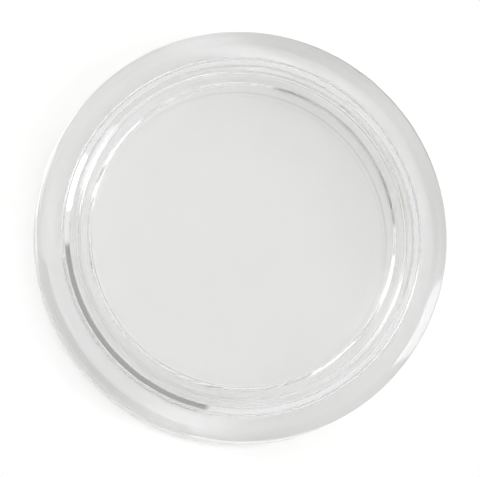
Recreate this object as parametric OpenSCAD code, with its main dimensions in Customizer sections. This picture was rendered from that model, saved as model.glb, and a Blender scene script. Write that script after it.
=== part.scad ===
// Two-part round coin capsule: a base with the coin pocket and a lid pushed over it.
// Both are turned shapes about +Z, standing on the base's foot ring at z = 0.

/* [Coin] */
// Diameter of the largest coin that the pocket takes
coin_d = 42; // [20:0.5:60]
// Thickness of the thickest coin that the closed capsule takes
coin_t = 3.1; // [2.4:0.1:6]

/* [Rim] */
// Width of the rim, from the pocket wall to the outer edge
rim_w = 4.6; // [4.2:0.1:8]
// How far the raised ring stands above the window, outside
recess = 0.4; // [0.2:0.05:0.8]
// Width of the bevel round the outer edge
edge_bevel_w = 1.2; // [0.6:0.1:1.4]
// Height of the bevel round the outer edge
edge_bevel_h = 0.6; // [0.3:0.05:0.8]
// Width of the raised ring round each window, from the outer edge in
ring_w = 4.4; // [3.2:0.1:6]
// Depth of the nail groove where the two shells meet
nail_groove = 0.45; // [0.2:0.05:0.6]

/* [Windows] */
// Thickness of each window
window_t = 1.2; // [0.8:0.1:1.6]
// How far a coin's face stays clear of each window
relief = 0.35; // [0.15:0.05:0.5]
// Width of the ledge that carries the coin's rim, in from the pocket wall
ledge_w = 2.2; // [1:0.1:3]
// How far the lid's press rib lies in from the pocket wall
press_in = 2.1; // [1.5:0.1:3]

/* [Fit] */
// Gap between the coin's edge and the pocket wall
coin_gap = 0.1; // [0.05:0.05:0.3]
// Thickness of the base's ring wall
wall_t = 1.35; // [1:0.05:1.8]
// Gap between the ring wall and the lid's skirt
fit_gap = 0.06; // [0.03:0.01:0.1]
// Height of the centring cone on top of the ring wall
cone_h = 0.6; // [0.4:0.05:0.7]
// How far the bead stands out of the ring wall
bead_h = 0.05; // [0.02:0.01:0.05]

/* [Moulding] */
// Direction of the lid's gate round the rim
lid_gate_angle = 51; // [0:1:359]
// Direction of the base's gate round the rim
base_gate_angle = 284; // [0:1:359]

/* [Hidden] */

pocket_r = coin_d / 2 + coin_gap;
outer_r = pocket_r + rim_w;
ring_wall_r = pocket_r + wall_t;
skirt_r = ring_wall_r + fit_gap;
ledge_r = pocket_r - ledge_w;
press_r = pocket_r - press_in;
ring_r = outer_r - ring_w;

floor_z = recess + window_t;
ledge_z = floor_z + relief;
total_h = 2 * ledge_z + coin_t + 0.2;
parting_z = total_h / 2;
nail_groove_h = nail_groove * 1.15;
edge_dome_r = 0.7 * norm([edge_bevel_w, edge_bevel_h]) * tan(90 - atan(edge_bevel_h / edge_bevel_w) / 2);
seat_gap = 0.04;
ceiling_gap = 0.1;

cone_r = pocket_r + 0.8;
cone_half = cone_h / tan(47) / 2;
cone_gap = 0.08;
ring_wall_top = total_h - floor_z - cone_h - ceiling_gap;

press_tip = 0.1;
press_run = relief / tan(48);

bead_z = (parting_z + ring_wall_top) / 2 + 0.1;
bead_half = 0.35;
groove_depth = 0.1;

gate_w = 1.8;
gate_depth = 0.35;
gate_h = 0.9;
stub_w = 1.0;
stub_depth = 0.2;
stub_h = 0.5;

clear_plastic = [0.86, 0.9, 0.88, 0.4];
$fn = 180;

// Corner b of an outline, rounded to radius b[2] between its neighbours a and c.
function rounded_corner(a, b, c) =
    let (
        p = [b[0], b[1]],
        to_a = [a[0], a[1]] - p,
        to_c = [c[0], c[1]] - p,
        u = to_a / norm(to_a),
        v = to_c / norm(to_c),
        half = acos(max(-1, min(1, u * v))) / 2,
        reach = b[2] / tan(half),
        mid = (u + v) / norm(u + v),
        centre = p + mid * b[2] / sin(half),
        from = p + u * reach - centre,
        sweep = 180 - 2 * half,
        turn = sign(u[0] * v[1] - u[1] * v[0]),
        steps = max(2, ceil(sweep / 15))
    )
    [for (i = [0:steps])
        let (t = -turn * sweep * i / steps)
        centre + [from[0] * cos(t) - from[1] * sin(t), from[0] * sin(t) + from[1] * cos(t)]];

// Outline through corners [r, z, radius]. A corner of radius 0 stays sharp.
function outline(corners) =
    let (n = len(corners))
    [for (i = [0:n - 1])
        let (b = corners[i])
        each b[2] == 0 ? [[b[0], b[1]]]
            : rounded_corner(corners[(i + n - 1) % n], b, corners[(i + 1) % n])];

// The outer face of a shell, from the axis out to the parting face: window, raised ring, domed bevel
// and nail groove.
// Written for the base, with the ring's resting face at z = 0.
function outside_corners(edge_z) = [
    [0, recess, 0],
    [ring_r - 1, recess, 0.6],
    [ring_r, 0, 0.6],
    [outer_r - edge_bevel_w, 0, edge_dome_r],
    [outer_r, edge_bevel_h, 0.35],
    [outer_r, edge_z - nail_groove_h, 0.12],
    [outer_r - nail_groove, edge_z, 0.08]
];

// Then ring wall with its bead and centring cone, pocket wall, ledge and window.
function base_corners() = concat(
    outside_corners(parting_z),
    [
        [ring_wall_r, parting_z, 0.1],
        [ring_wall_r, bead_z - bead_half, 0],
        [ring_wall_r + bead_h, bead_z - bead_half / 3, 0.15],
        [ring_wall_r + bead_h, bead_z + bead_half / 3, 0.15],
        [ring_wall_r, bead_z + bead_half, 0],
        [ring_wall_r - 0.1, ring_wall_top, 0.08],
        [cone_r + cone_half - cone_gap, ring_wall_top, 0.03],
        [cone_r - cone_half - cone_gap, ring_wall_top + cone_h, 0.05],
        [pocket_r, ring_wall_top + cone_h - 0.1, 0.04],
        [pocket_r, ledge_z, 0.15],
        [ledge_r, ledge_z, 0.12],
        [ledge_r - 0.2, floor_z, 0.12],
        [0, floor_z, 0]
    ]
);

// The lid, upside down: its raised ring is at z = 0, and the shell is turned over where it is used.
function lid_corners() =
    let (
        edge_z = parting_z - seat_gap,
        groove_z = total_h - bead_z
    )
    concat(
        outside_corners(edge_z),
        [
            [skirt_r + 0.05, edge_z, 0.02],
            [skirt_r, edge_z - 0.1, 0.03],
            [skirt_r, groove_z + bead_half + 0.05, 0],
            [skirt_r + groove_depth, groove_z + bead_half / 2, 0],
            [skirt_r + groove_depth, groove_z - bead_half / 2, 0],
            [skirt_r, groove_z - bead_half - 0.05, 0],
            [skirt_r, floor_z + cone_h, 0.04],
            [cone_r + cone_half, floor_z + cone_h, 0.03],
            [cone_r - cone_half, floor_z, 0.03],
            [press_r + press_tip / 2 + press_run, floor_z, 0.03],
            [press_r + press_tip / 2, ledge_z, 0.03],
            [press_r - press_tip / 2, ledge_z, 0.03],
            [press_r - press_tip / 2 - 0.03, floor_z, 0.05],
            [0, floor_z, 0]
        ]
    );

// What is cut from the rim's edge where a shell was gated. A trimmed stub stays in the notch.
module gate_notch(angle, z) {
    rotate([0, 0, angle])
        translate([outer_r - gate_depth, 0, z])
            difference() {
                translate([0, -gate_w / 2, -gate_h / 2])
                    cube([gate_depth + 1, gate_w, gate_h]);
                translate([-1, -stub_w / 2, -stub_h / 2])
                    cube([1 + stub_depth, stub_w, stub_h]);
            }
}

module capsule_base() {
    color(clear_plastic)
        difference() {
            rotate_extrude() polygon(outline(base_corners()));
            gate_notch(base_gate_angle, parting_z / 2);
        }
}

module capsule_lid() {
    color(clear_plastic)
        difference() {
            translate([0, 0, total_h])
                mirror([0, 0, 1])
                    rotate_extrude() polygon(outline(lid_corners()));
            gate_notch(lid_gate_angle, total_h - parting_z / 2);
        }
}

capsule_base();
capsule_lid();
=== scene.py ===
"""Looks of the coin capsule: two clear moulded shells turned from a fine profile, each with its gate mark."""

import math

import bmesh
import bpy
from mathutils import Matrix, Vector


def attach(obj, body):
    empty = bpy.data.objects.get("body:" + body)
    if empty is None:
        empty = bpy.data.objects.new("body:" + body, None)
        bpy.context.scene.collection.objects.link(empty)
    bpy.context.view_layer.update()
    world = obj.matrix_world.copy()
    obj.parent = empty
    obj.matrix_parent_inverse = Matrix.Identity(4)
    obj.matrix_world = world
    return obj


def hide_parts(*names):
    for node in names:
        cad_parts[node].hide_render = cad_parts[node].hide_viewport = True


MM = 0.001

# The shells, in millimetres, as in the CAD source
COIN_D = 42.0
COIN_T = 3.1
RIM_W = 4.6
RING_W = 4.4
RECESS = 0.4
EDGE_BEVEL_W = 1.2
EDGE_BEVEL_H = 0.6
NAIL_GROOVE = 0.45
WINDOW_T = 1.2
RELIEF = 0.35
LEDGE_W = 2.2
PRESS_IN = 2.1
COIN_GAP = 0.1
WALL_T = 1.35
FIT_GAP = 0.06
CONE_H = 0.6
BEAD_H = 0.05
CONE_ANGLE = math.radians(47)
PRESS_ANGLE = math.radians(48)
LID_GATE_ANGLE = math.radians(51)
BASE_GATE_ANGLE = math.radians(284)

POCKET_R = COIN_D / 2 + COIN_GAP
OUTER_R = POCKET_R + RIM_W
RING_WALL_R = POCKET_R + WALL_T
SKIRT_R = RING_WALL_R + FIT_GAP
LEDGE_R = POCKET_R - LEDGE_W
PRESS_R = POCKET_R - PRESS_IN
RING_R = OUTER_R - RING_W

FLOOR_Z = RECESS + WINDOW_T
LEDGE_Z = FLOOR_Z + RELIEF
TOTAL_H = 2 * LEDGE_Z + COIN_T + 0.2
PARTING_Z = TOTAL_H / 2
NAIL_GROOVE_H = NAIL_GROOVE * 1.15
BEVEL_SLOPE = math.atan2(EDGE_BEVEL_H, EDGE_BEVEL_W)
EDGE_DOME_R = 0.7 * math.hypot(EDGE_BEVEL_W, EDGE_BEVEL_H) * math.tan((math.pi - BEVEL_SLOPE) / 2)
SEAT_GAP = 0.04
CEILING_GAP = 0.1

CONE_R = POCKET_R + 0.8
CONE_HALF = CONE_H / math.tan(CONE_ANGLE) / 2
CONE_GAP = 0.08
RING_WALL_TOP = TOTAL_H - FLOOR_Z - CONE_H - CEILING_GAP

PRESS_TIP = 0.1
PRESS_RUN = RELIEF / math.tan(PRESS_ANGLE)

BEAD_Z = (PARTING_Z + RING_WALL_TOP) / 2 + 0.1
BEAD_HALF = 0.35
GROOVE_DEPTH = 0.1

GATE_NOTCH = Vector((0.35, 1.8, 0.9))
GATE_STUB = Vector((0.2, 1.0, 0.5))

SEGMENTS = 360
ARC_STEP = math.radians(7.5)
SHARP_EDGE = math.radians(25)

# The photograph's view: nearly from above, leaning towards -X and -Y
CAMERA_TILT = math.radians(10)
CAMERA_AZIMUTH = math.radians(225)
CAMERA_DISTANCE = 0.6
OUTLINE_SHARE = 0.8575

FLOOR_R = 0.04


def rounded_corner(a, b, c):
    """Corner b of an outline as the points of an arc of radius b[2] between its neighbours a and c."""
    p = Vector(b[:2])
    u = (Vector(a[:2]) - p).normalized()
    v = (Vector(c[:2]) - p).normalized()
    half = u.angle(v) / 2
    centre = p + (u + v).normalized() * b[2] / math.sin(half)
    start = p + u * b[2] / math.tan(half) - centre
    sweep = math.pi - 2 * half
    turn = -math.copysign(sweep, u.x * v.y - u.y * v.x)
    steps = max(3, math.ceil(sweep / ARC_STEP))
    return [centre + Matrix.Rotation(turn * i / steps, 2) @ start for i in range(steps + 1)]


def outline(corners):
    """Outline through corners (r, z, radius). A corner of radius 0 stays sharp."""
    points = []
    for i, b in enumerate(corners):
        if b[2] == 0:
            points.append(Vector(b[:2]))
        else:
            points += rounded_corner(corners[i - 1], b, corners[(i + 1) % len(corners)])
    return points


def outside_corners(edge_z):
    """The outer face of a shell, from the axis out to the parting face, with the raised ring at z = 0."""
    return [
        (0, RECESS, 0),
        (RING_R - 1, RECESS, 0.6),
        (RING_R, 0, 0.6),
        (OUTER_R - EDGE_BEVEL_W, 0, EDGE_DOME_R),
        (OUTER_R, EDGE_BEVEL_H, 0.35),
        (OUTER_R, edge_z - NAIL_GROOVE_H, 0.12),
        (OUTER_R - NAIL_GROOVE, edge_z, 0.08),
    ]


def base_corners():
    """The base: outer face, ring wall with its bead and centring cone, pocket wall, ledge and window."""
    return outside_corners(PARTING_Z) + [
        (RING_WALL_R, PARTING_Z, 0.1),
        (RING_WALL_R, BEAD_Z - BEAD_HALF, 0),
        (RING_WALL_R + BEAD_H, BEAD_Z - BEAD_HALF / 3, 0.15),
        (RING_WALL_R + BEAD_H, BEAD_Z + BEAD_HALF / 3, 0.15),
        (RING_WALL_R, BEAD_Z + BEAD_HALF, 0),
        (RING_WALL_R - 0.1, RING_WALL_TOP, 0.08),
        (CONE_R + CONE_HALF - CONE_GAP, RING_WALL_TOP, 0.03),
        (CONE_R - CONE_HALF - CONE_GAP, RING_WALL_TOP + CONE_H, 0.05),
        (POCKET_R, RING_WALL_TOP + CONE_H - 0.1, 0.04),
        (POCKET_R, LEDGE_Z, 0.15),
        (LEDGE_R, LEDGE_Z, 0.12),
        (LEDGE_R - 0.2, FLOOR_Z, 0.12),
        (0, FLOOR_Z, 0),
    ]


def lid_corners():
    """The lid upside down, with its raised ring at z = 0."""
    edge_z = PARTING_Z - SEAT_GAP
    groove_z = TOTAL_H - BEAD_Z
    return outside_corners(edge_z) + [
        (SKIRT_R + 0.05, edge_z, 0.02),
        (SKIRT_R, edge_z - 0.1, 0.03),
        (SKIRT_R, groove_z + BEAD_HALF + 0.05, 0),
        (SKIRT_R + GROOVE_DEPTH, groove_z + BEAD_HALF / 2, 0),
        (SKIRT_R + GROOVE_DEPTH, groove_z - BEAD_HALF / 2, 0),
        (SKIRT_R, groove_z - BEAD_HALF - 0.05, 0),
        (SKIRT_R, FLOOR_Z + CONE_H, 0.04),
        (CONE_R + CONE_HALF, FLOOR_Z + CONE_H, 0.03),
        (CONE_R - CONE_HALF, FLOOR_Z, 0.03),
        (PRESS_R + PRESS_TIP / 2 + PRESS_RUN, FLOOR_Z, 0.03),
        (PRESS_R + PRESS_TIP / 2, LEDGE_Z, 0.03),
        (PRESS_R - PRESS_TIP / 2, LEDGE_Z, 0.03),
        (PRESS_R - PRESS_TIP / 2 - 0.03, FLOOR_Z, 0.05),
        (0, FLOOR_Z, 0),
    ]


def add_object(name, mesh):
    obj = bpy.data.objects.new(name, mesh)
    bpy.context.scene.collection.objects.link(obj)
    return obj


def lathe(name, points):
    """A closed mesh turned about +Z from an outline that starts and ends on the axis."""
    bm = bmesh.new()
    rings = []
    for p in points:
        if p.x < 1e-9:
            rings.append([bm.verts.new((0, 0, p.y * MM))])
            continue
        turns = [2 * math.pi * i / SEGMENTS for i in range(SEGMENTS)]
        rings.append([bm.verts.new(Vector((p.x * math.cos(t), p.x * math.sin(t), p.y)) * MM) for t in turns])
    for a, b in zip(rings, rings[1:]):
        for i in range(SEGMENTS):
            j = (i + 1) % SEGMENTS
            corners = [a[i % len(a)], a[j % len(a)], b[j % len(b)], b[i % len(b)]]
            bm.faces.new(list(dict.fromkeys(corners)))
    bmesh.ops.recalc_face_normals(bm, faces=bm.faces)
    mesh = bpy.data.meshes.new(name)
    bm.to_mesh(mesh)
    bm.free()
    return add_object(name, mesh)


def gate_block(name, size, inner_r, reach, angle, z):
    """A block of the rim's edge, from inner_r out by reach, for cutting the gate notch or adding its stub."""
    bm = bmesh.new()
    bmesh.ops.create_cube(bm, size=1)
    bmesh.ops.scale(bm, vec=Vector((reach, size.y, size.z)) * MM, verts=bm.verts)
    bmesh.ops.translate(bm, vec=Vector((inner_r + reach / 2, 0, z)) * MM, verts=bm.verts)
    bmesh.ops.rotate(bm, matrix=Matrix.Rotation(angle, 3, "Z"), verts=bm.verts)
    mesh = bpy.data.meshes.new(name)
    bm.to_mesh(mesh)
    bm.free()
    return add_object(name, mesh)


def add_gate_mark(shell, angle, z):
    """The notch where the shell was gated, with the trimmed stub left in it."""
    notch_r = OUTER_R - GATE_NOTCH.x
    blocks = (
        ("DIFFERENCE", gate_block("notch", GATE_NOTCH, notch_r, GATE_NOTCH.x + 1, angle, z)),
        ("UNION", gate_block("stub", GATE_STUB, notch_r - 0.1, GATE_STUB.x + 0.1, angle, z)),
    )
    for operation, block in blocks:
        cut = shell.modifiers.new(block.name, "BOOLEAN")
        cut.operation = operation
        cut.solver = "EXACT"
        cut.object = block
    evaluated = shell.evaluated_get(bpy.context.evaluated_depsgraph_get())
    mesh = bpy.data.meshes.new_from_object(evaluated)
    shell.modifiers.clear()
    shell.data = mesh
    for _, block in blocks:
        bpy.data.objects.remove(block)


def clear_plastic():
    """Polished clear plastic with a faint tint: slight waviness from moulding and a trace of wear."""
    material = bpy.data.materials.new("clear_plastic")
    material.use_nodes = True
    tree = material.node_tree
    shader = tree.nodes["Principled BSDF"]
    shader.inputs["Base Color"].default_value = (0.87, 0.87, 0.87, 1)
    shader.inputs["Transmission Weight"].default_value = 1
    shader.inputs["IOR"].default_value = 1.59
    place = tree.nodes.new("ShaderNodeTexCoord").outputs["Object"]

    wear = tree.nodes.new("ShaderNodeTexNoise")
    wear.inputs["Scale"].default_value = 420
    wear.inputs["Detail"].default_value = 2
    tree.links.new(place, wear.inputs["Vector"])
    rough = tree.nodes.new("ShaderNodeMapRange")
    for name, value in (("From Min", 0.45), ("From Max", 0.8), ("To Min", 0.004), ("To Max", 0.05)):
        rough.inputs[name].default_value = value
    tree.links.new(wear.outputs["Fac"], rough.inputs["Value"])
    tree.links.new(rough.outputs["Result"], shader.inputs["Roughness"])

    flow = tree.nodes.new("ShaderNodeTexNoise")
    flow.inputs["Scale"].default_value = 160
    flow.inputs["Detail"].default_value = 1
    tree.links.new(place, flow.inputs["Vector"])
    bump = tree.nodes.new("ShaderNodeBump")
    bump.inputs["Strength"].default_value = 0.15
    bump.inputs["Distance"].default_value = 0.01 * MM
    tree.links.new(flow.outputs["Fac"], bump.inputs["Height"])
    tree.links.new(bump.outputs["Normal"], shader.inputs["Normal"])
    return material


def floor():
    """A round white floor. The studio's white backdrop carries on beyond its edge."""
    bm = bmesh.new()
    bmesh.ops.create_circle(bm, cap_ends=True, segments=96, radius=FLOOR_R)
    mesh = bpy.data.meshes.new("floor")
    bm.to_mesh(mesh)
    bm.free()
    material = bpy.data.materials.new("floor")
    material.use_nodes = True
    shader = material.node_tree.nodes["Principled BSDF"]
    shader.inputs["Base Color"].default_value = (0.97, 0.97, 0.97, 1)
    shader.inputs["Roughness"].default_value = 0.9
    shader.inputs["Specular IOR Level"].default_value = 0
    mesh.materials.append(material)
    sheet = add_object("floor", mesh)
    sheet.location.z = -0.02 * MM


def camera():
    """The photograph's view, with the capsule as wide in the frame as in the photograph."""
    lens = bpy.data.cameras.new("camera")
    eye = add_object("camera", lens)
    level = math.sin(CAMERA_TILT)
    back = Vector((level * math.cos(CAMERA_AZIMUTH), level * math.sin(CAMERA_AZIMUTH), math.cos(CAMERA_TILT)))
    right = Vector((0, 1, 0)).cross(back).normalized()
    turned = Matrix((right, back.cross(right), back)).transposed()
    eye.location = Vector((0, 0, TOTAL_H / 2 * MM)) + back * CAMERA_DISTANCE
    eye.rotation_euler = turned.to_euler()
    view_width = 2 * OUTER_R * MM / OUTLINE_SHARE
    lens.sensor_width = 36
    lens.lens = lens.sensor_width * CAMERA_DISTANCE / view_width
    bpy.context.scene.camera = eye


class Sky:
    """The studio round the capsule, as a colour for each azimuth and elevation, in degrees."""

    def __init__(self):
        world = bpy.data.worlds.new("studio")
        world.use_nodes = True
        bpy.context.scene.world = world
        self.tree = world.node_tree
        split = self.tree.nodes.new("ShaderNodeSeparateXYZ")
        direction = self.tree.nodes.new("ShaderNodeTexCoord").outputs["Generated"]
        self.tree.links.new(direction, split.inputs[0])
        degrees = math.degrees(1)
        around = self.maths("ARCTAN2", split.outputs["Y"], split.outputs["X"])
        self.azimuth = self.maths("FLOORED_MODULO", self.maths("MULTIPLY", around, degrees), 360)
        self.elevation = self.maths("MULTIPLY", self.maths("ARCSINE", split.outputs["Z"]), degrees)

    def connect(self, value, socket):
        """Put a constant or another node's output on a socket."""
        if isinstance(value, (int, float, tuple)):
            socket.default_value = value
        else:
            self.tree.links.new(value, socket)

    def maths(self, operation, a, b=0):
        node = self.tree.nodes.new("ShaderNodeMath")
        node.operation = operation
        self.connect(a, node.inputs[0])
        self.connect(b, node.inputs[1])
        return node.outputs[0]

    def rise(self, value, start, end):
        """0 below start and 1 above end."""
        node = self.tree.nodes.new("ShaderNodeMapRange")
        node.interpolation_type = "SMOOTHSTEP"
        self.connect(value, node.inputs["Value"])
        self.connect(start, node.inputs["From Min"])
        self.connect(end, node.inputs["From Max"])
        return node.outputs["Result"]

    def within(self, value, low, high, soft):
        """1 between low and high, and 0 outside."""
        above = self.rise(value, low - soft, low + soft)
        below = self.rise(value, high - soft, high + soft)
        return self.maths("SUBTRACT", above, below)

    def patch(self, azimuths, elevations, soft):
        """1 inside a stretch of azimuths and elevations, and 0 outside."""
        along = self.within(self.azimuth, *azimuths, soft)
        up = self.within(self.elevation, *elevations, soft)
        return self.maths("MULTIPLY", along, up)

    def mix(self, factor, below, above):
        """The colour below where the factor is 0, and above where it is 1."""
        node = self.tree.nodes.new("ShaderNodeMix")
        node.data_type = "RGBA"
        self.connect(factor, node.inputs[0])
        self.connect(below, node.inputs[6])
        self.connect(above, node.inputs[7])
        return node.outputs[2]


def grey(level, blue=1.0):
    return (level, level, level * blue, 1)


def studio():
    """A soft white tent, brighter overhead, with a dark card on the camera's side and two softboxes.

    The camera sees plain white past the capsule.
    """
    card = (178, 263)
    surfaces = (
        # Azimuths, elevations, softness of the edge, colour
        ((5, 80), (32, 72), 4, grey(1.0, 0.9)),  # warm screen in the north-east
        (card, (-1, 60), 2, grey(0.02)),  # dark card
        (card, (-1, 8), 2, grey(0.33)),  # paler foot of the card
        ((145, 164), (-1, 40), 1.5, grey(3.4)),  # west softbox
        ((336, 358), (24, 55), 2, grey(5)),  # east softbox
    )
    sky = Sky()
    light = sky.mix(sky.rise(sky.elevation, 32, 55), grey(0.86), grey(1.65))
    for azimuths, elevations, soft, colour in surfaces:
        light = sky.mix(sky.patch(azimuths, elevations, soft), light, colour)
    seen = sky.tree.nodes.new("ShaderNodeLightPath").outputs["Is Camera Ray"]
    backdrop = sky.tree.nodes["Background"].inputs["Color"]
    sky.tree.links.new(sky.mix(seen, light, grey(1.0)), backdrop)


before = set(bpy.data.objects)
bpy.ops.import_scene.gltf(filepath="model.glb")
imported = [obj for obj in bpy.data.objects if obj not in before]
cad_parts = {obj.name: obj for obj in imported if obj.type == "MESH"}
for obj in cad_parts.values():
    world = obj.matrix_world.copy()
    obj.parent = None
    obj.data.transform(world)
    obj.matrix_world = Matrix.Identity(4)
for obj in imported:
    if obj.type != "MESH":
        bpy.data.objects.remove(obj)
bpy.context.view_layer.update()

plastic = clear_plastic()
base_shell = lathe("base_shell", outline(base_corners()))
lid_shell = lathe("lid_shell", [Vector((p.x, TOTAL_H - p.y)) for p in outline(lid_corners())])
add_gate_mark(base_shell, BASE_GATE_ANGLE, PARTING_Z / 2)
add_gate_mark(lid_shell, LID_GATE_ANGLE, TOTAL_H - PARTING_Z / 2)
for shell, body, node in ((base_shell, "base", "capsule_base"), (lid_shell, "lid", "capsule_lid")):
    shell.data.materials.append(plastic)
    shell.data.shade_smooth()
    shell.data.set_sharp_from_angle(angle=SHARP_EDGE)
    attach(shell, body)
    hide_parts(node)

floor()
camera()
studio()

# Light crosses many faces of the two shells, and stays sharp all the way
scene = bpy.context.scene
scene.view_settings.view_transform = "Standard"
scene.cycles.max_bounces = 32
scene.cycles.transmission_bounces = 32
scene.cycles.glossy_bounces = 32
scene.cycles.blur_glossy = 0
